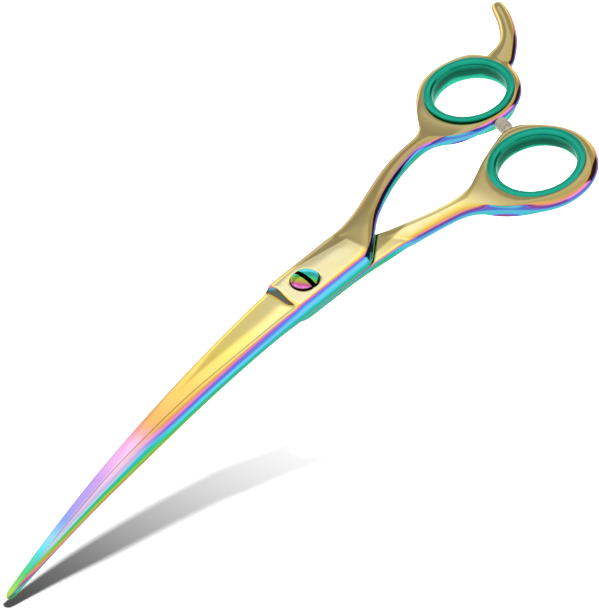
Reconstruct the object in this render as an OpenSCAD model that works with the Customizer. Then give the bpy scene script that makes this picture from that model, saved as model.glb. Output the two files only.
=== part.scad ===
// Curved barber shears: two bowed blades on a slotted pivot screw, finger and thumb
// rings with soft inserts, a finger rest and a small bumper between the rings.
// Units mm. Origin: pivot axis, on the outer flat of the rear half. +Z towards the
// screw head, +X towards the rings, +Y towards the finger ring.

/* [Size] */
// thickness of each half at the pivot
half_t = 3.6; // [3.2:0.1:4.2]
// pivot to blade tip
blade_l = 122.5; // [100:0.5:130]
// distance from the pivot where the blades start to bow
curve_start = 20; // [18:1:30]
// radius of the bow of the blades
bow_radius = 450; // [350:10:900]
// running gap between the two halves
blade_gap = 0.06; // [0.04:0.01:0.1]

/* [Blade] */
// depth of the hollow ground into each blade face
hollow_d = 0.25; // [0:0.05:0.4]
// thickness left at the cutting edges
edge_t = 0.15; // [0.1:0.05:0.3]
// width of the bevel along the cutting edges
bevel_w = 1.1; // [0.6:0.1:1.6]
// thickness of the blade at the tip
tip_t = 1.3; // [1:0.1:1.8]

/* [Pivot] */
// radius of the screw head
head_r = 3.85; // [3.4:0.05:4.2]
// height of the head rim over the block
head_rim = 0.55; // [0.2:0.05:0.8]
// height of the dome on the head
head_dome = 0.85; // [0.4:0.05:1.2]
// width of the screwdriver slot
slot_w = 1.3; // [0.8:0.05:1.5]
// turn of the slot from the Y axis in degrees
slot_turn = -8; // [-30:1:30]
// radius of the plain neck the halves turn on
neck_r = 2.5; // [2.2:0.05:2.8]
// radius of the threaded tail
tail_r = 1.75; // [1.4:0.05:2]
// radial running clearance
run_c = 0.05; // [0.02:0.01:0.09]

/* [Rings] */
// radius of the finger hole
finger_hole_r = 10; // [9:0.1:10.2]
// radius of the thumb hole
thumb_hole_r = 10.8; // [10:0.1:11.2]
// height of the finger insert
finger_insert_h = 6.2; // [5.8:0.1:6.6]
// height of the thumb insert
thumb_insert_h = 5.2; // [5:0.1:5.6]
// half height of the metal of the finger ring
finger_b = 1.6; // [1.4:0.1:1.8]
// half height of the metal of the thumb ring
thumb_b = 2.2; // [1.9:0.1:2.3]

/* [Bumper] */
// radius of the bumper head
bumper_r = 1.9; // [1.7:0.1:2.4]
// gap between bumper and finger ring when closed
bumper_gap = 0.03; // [0.01:0.01:0.1]

/* [Hidden] */
part_z = half_t;
top_z = 2 * half_t;
block_front = -9.4;
front_end = 16.4;
rear_end = 32.5;
step_skew = 2.6;
step_w = 0.9;
finger_c = [79.7, 11.2];
thumb_c = [68.2, -22.35];
hoop_c = [67.9, -22.9];
boss = [74.6, -7.7];
finger_bore_r = finger_hole_r + 1;
thumb_bore_r = thumb_hole_r + 1.4;
finger_lip_r = finger_bore_r + 1.3;
thumb_lip_r = thumb_bore_r + 1.15;
seat_r = head_r + 0.2;
seat_z = top_z - 1.3;
head_z = seat_z + 0.4;
neck_z = part_z - 0.4;
washer_r = 6;
washer_t = 0.5;
bush_r = 3.5;
bush_floor = 0.8;
ball_fn = 20;
bore_fn = 96;
seam = 0.01;
dome_r = (pow(head_r, 2) + pow(head_dome, 2)) / (2 * head_dome);
lip_h = 0.75;
finger_top = part_z + finger_b + lip_h + 0.05;
thumb_top = part_z + thumb_b;
bumper_base = 2.1;
bumper_tip = norm(finger_c - boss) - finger_bore_r - 2.35 - bumper_gap;
rib_n = 5;
rib_h = (bumper_tip - bumper_base - 0.5) / rib_n;

// outlines of the two halves, spine side and edge side, from tip to block end
front_spine = [[-1, -0.4], [-0.76, -2.2], [-0.57, -3.8], [-0.34, -4.95], [-0.14, -6.1], [-0.07, -7],
    [0.135, -9.1]];
front_edge = [[-1, 2.3], [-0.76, 4.4], [-0.6, 5.6], [-0.38, 6.9], [-0.16, 8], [-0.06, 8.3], [0.135, 6.6]];
rear_spine = [[-1, -1.9], [-0.76, -3.9], [-0.6, -5.1], [-0.38, -6.4], [-0.16, -7.5], [-0.06, -7.8],
    [0.1, -7.1], [0.13, -5.8], [0.165, -2.6], [0.205, 1.2], [0.257, 5]];
rear_edge = [[-1, 0.1], [-0.76, 1.9], [-0.57, 3.5], [-0.34, 4.65], [-0.14, 5.8], [-0.07, 6.8],
    [0.135, 9.2], [0.19, 10.2], [0.257, 11.2]];
thick_line = [[-1, 0], [-0.76, 0.42], [-0.57, 0.63], [-0.34, 0.79], [-0.16, 0.87], [-0.08, 1], [0.26, 1]];

// centre line of a strip: [x, y, half width, z, half height]
front_shank = [[12, -0.6, 7.4, 5.4, 1.75], [16.4, -0.7, 7.2, 5.4, 1.75], [19, 0, 6.2, 5.4, 1.75],
    [21.5, 0.9, 5.2, 5.4, 1.75], [25, 2.3, 4.1, 5.4, 1.75], [29, 3.9, 3.1, 5.25, 1.8],
    [33.5, 5.5, 2.5, 4.95, 1.85], [38, 7.1, 2.25, 4.65, 1.9], [43, 8.7, 2.15, 4.35, 1.95],
    [48, 9.8, 2.15, 4.1, 2], [53, 10.4, 2.2, 3.85, 2], [57.5, 10.6, 2.6, 3.7, 1.9],
    [60, 10.4, 3.1, 3.6, 1.8]];
rest = [[90.5, 11.6, 6.6, 3.6, 1.6], [93.7, 12.3, 4.3, 3.6, 1.6], [96, 13.3, 3.2, 3.6, 1.7],
    [98.4, 14.5, 2.6, 3.6, 1.8], [101.3, 16.5, 2.1, 3.6, 1.85], [103.8, 18.7, 1.95, 3.7, 1.8],
    [106.3, 21.7, 1.8, 3.8, 1.7], [107.8, 24.2, 1.7, 3.9, 1.65], [108.8, 26.1, 1.6, 4, 1.55]];

// the two edges of a web: [x, y of the upper edge, x, y of the lower edge, z, half height]
finger_web = [[60, 11.7, 60, 9.1, 3.6, 1.8], [63.1, 13.3, 64, 7.2, 3.6, 1.7],
    [66.5, 16.2, 67.3, 4.5, 3.6, 1.6], [70, 19.6, 70.1, 2.3, 3.6, 1.6], [75.1, 22.4, 72.9, 1.7, 3.6, 1.6],
    [79, 22.9, 77, -0.1, 3.6, 1.6]];
thumb_web = [[29.5, -5.4, 30.5, -9.5, 1.8, 1.75], [31.4, -6.3, 32.6, -10.4, 1.9, 1.75],
    [35.6, -9, 36.7, -12.2, 2.5, 1.8], [40.6, -11.4, 41, -13.9, 3, 1.9],
    [44.9, -13, 45.1, -15.6, 3.4, 1.95], [48.5, -14.2, 48, -18.1, 3.6, 1.95],
    [54.3, -14, 50.6, -21.1, 3.6, 2], [60, -12.2, 52.8, -24.9, 3.6, 2.1],
    [64.4, -10.2, 54.9, -28.6, 3.6, 2.2], [70.8, -8, 57.8, -32, 3.6, 2.1]];

function mix(a, b, t) = a + (b - a) * t;
function clamp(t) = min(1, max(0, t));
function ease(t) = let(c = clamp(t)) c * c * (3 - 2 * c);

// smooth curve through a short list of points [x, y]
function slope(p, i) =
    let(a = max(0, i - 1), b = min(len(p) - 1, i + 1))
    (p[b][1] - p[a][1]) / (p[b][0] - p[a][0]);
function span(p, x, i = 0) = (i >= len(p) - 2 || x <= p[i + 1][0]) ? i : span(p, x, i + 1);
function along(p, x) =
    let(i = span(p, x), w = p[i + 1][0] - p[i][0], t = (x - p[i][0]) / w)
    let(m0 = slope(p, i) * w, m1 = slope(p, i + 1) * w)
    mix(p[i][1], p[i + 1][1], t * t * (3 - 2 * t)) + m0 * t * (1 - t) * (1 - t) - m1 * t * t * (1 - t);

// fall of the parting surface at distance r from the pivot axis
function fall(r) = r <= curve_start ? 0 : bow_radius - sqrt(pow(bow_radius, 2) - pow(r - curve_start, 2));

// height of the outer face over the parting surface, from the spine (v = 0) to the edge (v = 1)
function ridge_run(x) = 1.6 * ease((x / blade_l + 1.05) / 0.35);
function shoulder(s) = pow(1 - pow(1 - clamp(s), 2.4), 1 / 1.7);
function blade_face(x, y, ys, ye) =
    let(t = mix(tip_t, half_t, along(thick_line, x / blade_l)), yr = ys + ridge_run(x))
    let(v = clamp((y - yr) / (ye - yr)))
    let(face = mix(t, 0.6, v) - hollow_d * 4 * v * (1 - v), bevel = edge_t + (ye - y) * 0.5 / bevel_w)
    max(edge_t, min(face, bevel));
function block_face(x, y, ye, wall, run) =
    let(cut = max(0, y - 5.8 + 0.29 * (x - 1)) * 0.1)
    min(half_t - cut, wall + (ye - y) * (half_t - wall) / run);
function step_x(y, skew) = block_front + skew * ease((y + 3.4) / 11);
function face(x, y, ys, ye, wall, run, skew) =
    let(k = ease((x - step_x(y, skew)) / step_w), s = (y - ys) / max(0.15, ridge_run(x) * 1.2))
    mix(blade_face(x, y, ys, ye), block_face(x, y, ye, wall, run), k) * mix(0.12, 1, shoulder(s));

// closed skin of one blade and its block, spine at -Y, outer face up
cols = [0, 0.015, 0.035, 0.06, 0.09, 0.125, 0.18, 0.28, 0.4, 0.52, 0.64, 0.76, 0.86, 0.93, 1];
under = [0.75, 0.5, 0.25];
stations = concat(
    [for (i = [0:4]) -blade_l + i * 0.7],
    [for (i = [1:26]) mix(-blade_l + 2.8, -12, i / 26)],
    [for (i = [1:11]) mix(-12, -5, i / 11)]);

function tip_round(x) = let(d = x + blade_l) d >= 2 ? 1 : sqrt(1 - pow(1 - max(0.03, d / 2), 2));
module blade(spine, edge, wall, run, skew, bow, end) {
    loop = len(cols) + len(under);
    xs = concat(stations, [for (i = [1:10]) mix(-5, end, i / 10)]);
    ring = [for (x = xs)
        let(s0 = along(spine, x / blade_l), e0 = along(edge, x / blade_l), k = tip_round(x))
        let(ys = mix((s0 + e0) / 2, s0, k), ye = mix((s0 + e0) / 2, e0, k))
        concat(
            [for (u = cols) let(y = mix(ys, ye, u))
                [x, y, blade_gap / 2 + face(x, y, ys, ye, wall, run, skew) - bow * fall(norm([x, y]))]],
            [[x, ye, blade_gap / 2 - bow * fall(norm([x, ye]))]],
            [for (u = under) let(y = mix(ys, ye, u)) [x, y, blade_gap / 2 - bow * fall(norm([x, y]))]],
            [[x, ys, blade_gap / 2 - bow * fall(norm([x, ys]))]])];
    n = loop + 2;
    last = len(xs) - 1;
    polyhedron(
        points = [for (r = ring) each r],
        faces = concat(
            [for (i = [0:last - 1], j = [0:n - 1]) [i * n + j, i * n + (j + 1) % n, (i + 1) * n + j]],
            [for (i = [0:last - 1], j = [0:n - 1])
                [i * n + (j + 1) % n, (i + 1) * n + (j + 1) % n, (i + 1) * n + j]],
            [[for (j = [n - 1:-1:0]) j]],
            [[for (j = [0:n - 1]) last * n + j]]));
}

// a flat pebble, the brush the handles are drawn with
module pebble(x, y, z, r, b) translate([x, y, z]) scale([r, r, b]) sphere(r = 1, $fn = ball_fn);

// a strip drawn with two pebbles a width apart along its centre line
function side(p, i) =
    let(a = p[max(0, i - 1)], b = p[min(len(p) - 1, i + 1)], d = [b[0] - a[0], b[1] - a[1]])
    [-d[1], d[0]] / norm(d);
module pair(p, i) {
    q = p[i];
    r = min(q[2], q[4]);
    for (k = [-1, 1])
        pebble(q[0] + k * side(p, i)[0] * (q[2] - r), q[1] + k * side(p, i)[1] * (q[2] - r), q[3], r, q[4]);
}
module strip(p) {
    for (i = [0:len(p) - 2])
        hull() {
            pair(p, i);
            pair(p, i + 1);
        }
}

// a web between its two edges
module web(p) {
    for (i = [0:len(p) - 2])
        hull()
            for (q = [p[i], p[i + 1]]) {
                pebble(q[0], q[1], q[4], q[5], q[5]);
                pebble(q[2], q[3], q[4], q[5], q[5]);
            }
}

// metal of one ring
module hoop(c, r, a, b) {
    translate([c[0], c[1], part_z])
        rotate_extrude($fn = 72) translate([r, 0]) scale([a, b]) circle(r = 1, $fn = 16);
}

// a round hole whose flats touch the circle, so a round piece of that radius fits in it
module drill(r, h) cylinder(r = r / cos(180 / bore_fn), h = h, $fn = bore_fn);
module bore(c, r) translate([c[0], c[1], part_z - 5]) drill(r, 10);

module front_half() color([0.83, 0.72, 0.42]) difference() {
    union() {
        translate([0, 0, part_z]) blade(front_spine, front_edge, 2.9, 0.7, step_skew, 1, front_end);
        strip(front_shank);
        web(finger_web);
        hoop(finger_c, finger_bore_r + 1, 1.35, finger_b);
        strip(rest);
    }
    bore(finger_c, finger_bore_r);
    translate([0, 0, part_z - 1]) drill(neck_r + run_c, 2 * half_t);
    translate([0, 0, seat_z]) drill(seat_r, 2 * half_t);
}

module rear_half() color([0.78, 0.62, 0.5]) difference() {
    union() {
        translate([0, 0, part_z]) rotate([180, 0, 0])
            blade(rear_spine, rear_edge, 1.5, 3.4, 0.6, -1, rear_end);
        web(thumb_web);
        hoop(hoop_c, thumb_bore_r + 1.25, 2.05, thumb_b);
        hull() {
            pebble(70.8, -8, part_z, 2, thumb_b);
            pebble(boss[0], boss[1], part_z, 2, thumb_b);
            pebble(80, -15.2, part_z, 1.8, thumb_b);
            pebble(70, -10, part_z, 1.8, thumb_b);
        }
    }
    bore(thumb_c, thumb_bore_r);
    for (k = [0, 1])
        translate([thumb_c[0], thumb_c[1], k ? thumb_top - lip_h : thumb_top - thumb_insert_h - 5 + lip_h])
            drill(thumb_lip_r + 0.1, 5);
    translate([0, 0, -1]) drill(bush_r, half_t + 2);
    translate([0, 0, part_z - washer_t + 0.02]) drill(washer_r + run_c, 2);
    bumper_place() translate([0, 0, bumper_base - 2]) drill(0.9, 6);
}

module pivot_bushing() color([0.5, 0.5, 0.52]) difference() {
    translate([0, 0, -blade_gap / 2]) cylinder(r = bush_r, h = part_z - washer_t - seam + blade_gap / 2);
    translate([0, 0, bush_floor]) cylinder(r = tail_r + run_c, h = half_t);
}

module friction_washer() color([0.93, 0.93, 0.9]) translate([0, 0, part_z - washer_t + 0.02])
    difference() {
        cylinder(r = washer_r, h = washer_t - 0.02);
        translate([0, 0, -1]) cylinder(r = neck_r + run_c, h = 3);
    }

// dished spring washer: outer rim down on the seat, inner rim up under the head
module spring_washer() color([0.6, 0.6, 0.62]) rotate_extrude()
    polygon([[neck_r + 0.1, seat_z + 0.14], [seat_r - 0.15, seat_z + seam], [seat_r - 0.15, seat_z + 0.22],
        [neck_r + 0.1, head_z - seam]]);

module pivot_screw() color([0.2, 0.65, 0.6]) difference() {
    union() {
        translate([0, 0, bush_floor + 0.2]) cylinder(r = tail_r, h = head_z - bush_floor);
        translate([0, 0, neck_z]) cylinder(r = neck_r, h = head_z - neck_z + 0.5);
        translate([0, 0, head_z]) cylinder(r = head_r, h = top_z + head_rim - head_z);
        translate([0, 0, top_z + head_rim]) intersection() {
            translate([0, 0, head_dome - dome_r]) sphere(r = dome_r);
            cylinder(r = head_r, h = head_dome + 1);
        }
    }
    rotate([0, 0, slot_turn]) translate([-slot_w / 2, -head_r - 1, top_z + head_rim - 0.5])
        cube([slot_w, 2 * head_r + 2, 5]);
}

// soft ring: a sleeve through the metal, a round lip above it and a deeper one below
function arc(x, z, r, a0, a1) =
    [for (i = [0:6]) let(a = mix(a0, a1, i / 6)) [x + r * cos(a), z + r * sin(a)]];
module soft_ring(c, hole, bore, lip, top, h, low) {
    r_in = min(0.9, bore - hole - 0.1);
    r_out = lip_h / 2 - 0.02;
    bottom = top - h;
    low_r = min(0.8, (low - bottom) / 2 - 0.02);
    translate([c[0], c[1], 0]) rotate_extrude() polygon(concat(
        arc(hole + r_in, bottom + r_in, r_in, 180, 270),
        arc(lip - low_r, bottom + low_r, low_r, 270, 360),
        [[lip, low - 0.1], [lip - 0.1, low], [bore, low], [bore, top - lip_h]],
        arc(lip - r_out, top - r_out, r_out, -90, 90),
        arc(hole + r_in, top - r_in, r_in, 90, 180)));
}
module finger_insert() color([0.1, 0.62, 0.5])
    soft_ring(finger_c, finger_hole_r, finger_bore_r, finger_lip_r, finger_top, finger_insert_h,
        part_z - finger_b - 0.05);
module thumb_insert() color([0.1, 0.55, 0.42])
    soft_ring(thumb_c, thumb_hole_r, thumb_bore_r, thumb_lip_r, thumb_top, thumb_insert_h,
        thumb_top - thumb_insert_h + lip_h);

// ribbed bumper standing on the thumb ring, its nose at the finger ring
module bumper_place() translate([boss[0], boss[1], part_z])
    rotate([0, 0, atan2(finger_c[1] - boss[1], finger_c[0] - boss[0])]) rotate([0, 90, 0]) children();
module bumper() color([0.75, 0.76, 0.74]) bumper_place() rotate_extrude() polygon(concat(
    [[0, bumper_base - 1.9], [0.9, bumper_base - 1.9], [0.9, bumper_base]],
    [for (i = [0:rib_n - 1], k = [0, 1, 2, 3])
        [bumper_r - (k == 0 || k == 3 ? 0.2 : 0), bumper_base + (i + [0, 0.2, 0.8, 1][k]) * rib_h]],
    [[bumper_r - 0.7, bumper_tip - 0.3], [0.9, bumper_tip], [0, bumper_tip]]));

front_half();
rear_half();
pivot_screw();
spring_washer();
friction_washer();
pivot_bushing();
finger_insert();
thumb_insert();
bumper();
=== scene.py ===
import math

import bmesh
import bpy
from mathutils import Matrix, Vector


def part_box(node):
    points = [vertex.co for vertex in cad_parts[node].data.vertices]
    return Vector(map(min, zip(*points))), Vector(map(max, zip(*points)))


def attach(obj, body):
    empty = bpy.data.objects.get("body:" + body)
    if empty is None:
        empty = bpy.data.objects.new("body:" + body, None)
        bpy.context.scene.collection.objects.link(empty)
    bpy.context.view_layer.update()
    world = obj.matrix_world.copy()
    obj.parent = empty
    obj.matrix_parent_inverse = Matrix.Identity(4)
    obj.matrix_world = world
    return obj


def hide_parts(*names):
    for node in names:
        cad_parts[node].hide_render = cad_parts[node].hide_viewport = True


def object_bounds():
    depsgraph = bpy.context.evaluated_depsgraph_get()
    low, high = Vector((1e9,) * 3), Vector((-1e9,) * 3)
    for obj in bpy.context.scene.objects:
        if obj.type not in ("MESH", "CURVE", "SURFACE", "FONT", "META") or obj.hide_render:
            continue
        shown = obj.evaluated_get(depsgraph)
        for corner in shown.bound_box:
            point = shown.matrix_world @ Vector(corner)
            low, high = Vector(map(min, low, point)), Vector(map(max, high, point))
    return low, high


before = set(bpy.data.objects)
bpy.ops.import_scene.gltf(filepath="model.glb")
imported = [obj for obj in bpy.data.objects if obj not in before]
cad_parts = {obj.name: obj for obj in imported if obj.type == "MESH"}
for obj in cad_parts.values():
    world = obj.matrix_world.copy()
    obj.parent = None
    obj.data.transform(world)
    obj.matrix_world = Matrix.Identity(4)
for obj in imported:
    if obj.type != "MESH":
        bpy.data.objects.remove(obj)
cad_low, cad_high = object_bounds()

# Curved barber shears. Shapes are worked out in millimetres and scaled to metres when a mesh is made.
# Each half is drawn in its own frame: x as in the shared frame, v across with the spine at -v, h up from
# the parting plane with the outer face up. The front half stands as drawn, the rear half is turned over.
MM = 0.001


# ---------------------------------------------------------------- sizes taken from the frame

def box_mm(name):
    low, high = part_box(name)
    return Vector(low) / MM, Vector(high) / MM


screw_low, screw_high = box_mm("pivot_screw")
finger_low, finger_high = box_mm("finger_insert")
thumb_low, thumb_high = box_mm("thumb_insert")
washer_high = box_mm("friction_washer")[1]
bushing_low, bushing_high = box_mm("pivot_bushing")
front_low = box_mm("front_half")[0]

PARTING_Z = washer_high.z
HALF_T = PARTING_Z
BLADE_L = -front_low.x
FINGER_C = (finger_low + finger_high) / 2
THUMB_C = (thumb_low + thumb_high) / 2
FINGER_LIP_R = (finger_high.x - finger_low.x) / 2
THUMB_LIP_R = (thumb_high.x - thumb_low.x) / 2
HEAD_R = (screw_high.x - screw_low.x) / 2
BUSH_R = (bushing_high.x - bushing_low.x) / 2

# ---------------------------------------------------------------- sizes of the design

GAP = 0.06
CURVE_START = 20
BOW_RADIUS = 450
TIP_T = 1.3
HOLLOW = 0.3
EDGE_T = 0.15
BEVEL_W = 1.1
BEVEL_RISE = 0.5
SEAT_R = HEAD_R + 0.2
FINGER_BORE_R = FINGER_LIP_R - 1.3
THUMB_BORE_R = THUMB_LIP_R - 1.15
FINGER_HOLE_R = FINGER_BORE_R - 1
THUMB_HOLE_R = THUMB_BORE_R - 1.4
HOOP_C = THUMB_C + Vector((-0.3, -0.55, 0))
BOSS = Vector((74.6, -7.7, PARTING_Z))
BUMPER_LAP = 0.4
RIM_W = 2.35
EDGE_TOP = 0.6
SIDE_OUT = 0.35
BELOW_IN = 0.22
BACK_W = 1.25
CUT_SLOPE, CUT_START, CUT_SKEW = 0.1, 5.8, 0.29

# outlines along the blade as [x / blade length, across], tip first
FRONT_SPINE = [(-1, -0.4), (-0.76, -2.2), (-0.57, -3.8), (-0.34, -4.95), (-0.14, -6.1), (-0.07, -7),
               (0.135, -9.1)]
FRONT_EDGE = [(-1, 2.3), (-0.76, 4.4), (-0.6, 5.6), (-0.38, 6.9), (-0.16, 8), (-0.06, 8.3),
              (0.135, 6.6)]
REAR_SPINE = [(-1, -1.9), (-0.76, -3.9), (-0.6, -5.1), (-0.38, -6.4), (-0.16, -7.5), (-0.06, -7.8),
              (0.1, -7.1), (0.13, -5.8), (0.165, -2.6), (0.205, 1.2), (0.257, 5)]
REAR_EDGE = [(-1, 0.1), (-0.76, 1.9), (-0.57, 3.5), (-0.34, 4.65), (-0.14, 5.8), (-0.07, 6.8),
             (0.135, 9.2), (0.19, 10.2), (0.257, 11.2)]
THICKNESS = [(-1, 0), (-0.76, 0.42), (-0.57, 0.63), (-0.34, 0.79), (-0.16, 0.87), (-0.08, 1), (0.26, 1)]

# the two sides of a handle as (x, v at -v side, x, v at +v side, h of the middle, half height)
FRONT_HANDLE = [
    (20.7, -6.1, 17.2, 5.9, 1.8, 1.77), (23.6, -4, 20, 5.75, 1.8, 1.76),
    (26.5, -1.8, 23.6, 6.15, 1.78, 1.76), (30.1, 0.65, 27.8, 6.9, 1.65, 1.8),
    (34.4, 2.6, 32.6, 8.4, 1.35, 1.85), (38.7, 4.4, 37.3, 9.85, 1.05, 1.9),
    (43.5, 6, 42.4, 11.35, 0.75, 1.95), (48.3, 7.1, 47.7, 12.45, 0.5, 2),
    (53.1, 7.7, 52.7, 12.9, 0.25, 2), (57.2, 7.8, 57, 12.8, 0.1, 1.9)]
FRONT_WEB = [
    (60.8, 6.7, 60.3, 13.1, 0, 1.8), (64, 4.2, 62.8, 14.7, 0, 1.7),
    (67.2, 1.5, 65.1, 17.3, 0, 1.62), (70.6, -0.5, 67.9, 20.2, 0, 1.6)]
REAR_HANDLE = [
    (30.6, 3.9, 29.6, 11.2, 1.78, 1.76), (33, 4.9, 31.6, 11.9, 1.65, 1.8),
    (37, 7.2, 35.9, 13.75, 1.1, 1.85), (41.4, 9.6, 40.2, 15.6, 0.6, 1.9),
    (45.2, 11.2, 44.4, 17.5, 0.25, 1.95)]
REAR_WEB = [
    (48.8, 12.2, 46.8, 19.9, 0, 1.95), (52.5, 12.15, 49.1, 22.8, 0, 2),
    (56.3, 11.35, 51.2, 26.2, 0, 2.05), (60.3, 9.9, 53.4, 30, 0, 2.1)]
# centre line of the finger rest: (x, v, half width, h, half height)
REST = [
    (94.3, 13.1, 4.1, 0, 1.62), (97, 13.9, 3.3, 0, 1.68), (99.5, 14.9, 2.65, 0, 1.75),
    (101.9, 16.5, 2.3, 0.05, 1.8), (104.1, 18.7, 2.2, 0.1, 1.8), (106.6, 21.8, 2.1, 0.2, 1.75),
    (108.3, 24.6, 2, 0.3, 1.7), (109.4, 26.8, 1.85, 0.4, 1.65)]


# ---------------------------------------------------------------- small maths

def mix(a, b, t):
    return a + (b - a) * t


def clamp(t):
    return min(1, max(0, t))


def ease(t):
    t = clamp(t)
    return t * t * (3 - 2 * t)


def along(points, x):
    """Smooth curve through (x, value) points."""
    i = 0
    while i < len(points) - 2 and x > points[i + 1][0]:
        i += 1

    def slope(k):
        a, b = max(0, k - 1), min(len(points) - 1, k + 1)
        return (points[b][1] - points[a][1]) / (points[b][0] - points[a][0])

    w = points[i + 1][0] - points[i][0]
    t = (x - points[i][0]) / w
    m0, m1 = slope(i) * w, slope(i + 1) * w
    middle = mix(points[i][1], points[i + 1][1], t * t * (3 - 2 * t))
    return middle + m0 * t * (1 - t) ** 2 - m1 * t * t * (1 - t)


def fall(x, v):
    """How far the bow has dropped at a place on the blade."""
    r = math.hypot(x, v) - CURVE_START
    return 0 if r <= 0 else BOW_RADIUS - math.sqrt(BOW_RADIUS ** 2 - r ** 2)


def spline_factor(count):
    """How far a closed ring of control points shrinks when it is subdivided."""
    return (4 + 2 * math.cos(2 * math.pi / count)) / 6


# ---------------------------------------------------------------- cages

SUBDIVISIONS = 2


class Cage:
    """Control points, faces and creases of one subdivision surface."""

    def __init__(self):
        self.points = []
        self.faces = []
        self.creases = {}

    def add(self, p):
        self.points.append(tuple(p))
        return len(self.points) - 1

    def ring(self, points):
        return [self.add(p) for p in points]

    def face(self, *ids):
        self.faces.append(ids)

    def crease(self, a, b, weight):
        key = (min(a, b), max(a, b))
        self.creases[key] = max(weight, self.creases.get(key, 0))

    def crease_loop(self, ids, weight):
        for a, b in zip(ids, ids[1:] + ids[:1]):
            self.crease(a, b, weight)


def mesh_object(name, cage, place):
    """Makes a subdivision surface object from a cage. place turns cage points into the shared frame."""
    bm = bmesh.new()
    verts = [bm.verts.new(Vector(place(p)) * MM) for p in cage.points]
    for ids in cage.faces:
        bm.faces.new([verts[i] for i in ids])
    bm.verts.ensure_lookup_table()
    layer = bm.edges.layers.float.new("crease_edge")
    for (a, b), weight in cage.creases.items():
        edge = bm.edges.get((verts[a], verts[b]))
        if edge:
            edge[layer] = weight
    bmesh.ops.recalc_face_normals(bm, faces=bm.faces)
    for f in bm.faces:
        f.smooth = True
    mesh = bpy.data.meshes.new(name)
    bm.to_mesh(mesh)
    bm.free()
    obj = bpy.data.objects.new(name, mesh)
    bpy.context.scene.collection.objects.link(obj)
    sub = obj.modifiers.new("subdivision", "SUBSURF")
    sub.levels = sub.render_levels = SUBDIVISIONS
    return obj


# ---------------------------------------------------------------- one half of the shears

TOP = 9
LOOP = 2 * TOP + 2
SIDE_B = TOP
SIDE_A = LOOP - 1
ROUND_T = (-1, -1, -0.8, -0.45, 0, 0.45, 0.8, 1, 1)
ROUND_A = (162, 144, 126, 108, 90, 72, 54, 36, 18)
FLAT_T = (-1, -0.8, -0.53, -0.26, 0, 0.26, 0.53, 0.8, 1)
FLAT_A = (140, 104, 92, 90, 90, 90, 88, 76, 40)
PATCH = (-5.3, -2.65, 0, 2.65, 5.3)


def below(j):
    """Index of the bottom point under top point j."""
    return 2 * TOP - j


def ridge_run(x):
    """Distance of the blade's ridge from its spine: a narrow roll at the block, wider towards the tip."""
    grow = mix(0.75, 2.5, ease((-x - 12) / 48))
    return (BACK_W + grow) * ease((x / BLADE_L + 1.08) / 0.42)


def step_skew(v):
    """How far the step at the end of the block has turned aside, from 0 at the spine to 1 at the edge."""
    return ease((v + 3.4) / 11)


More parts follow.
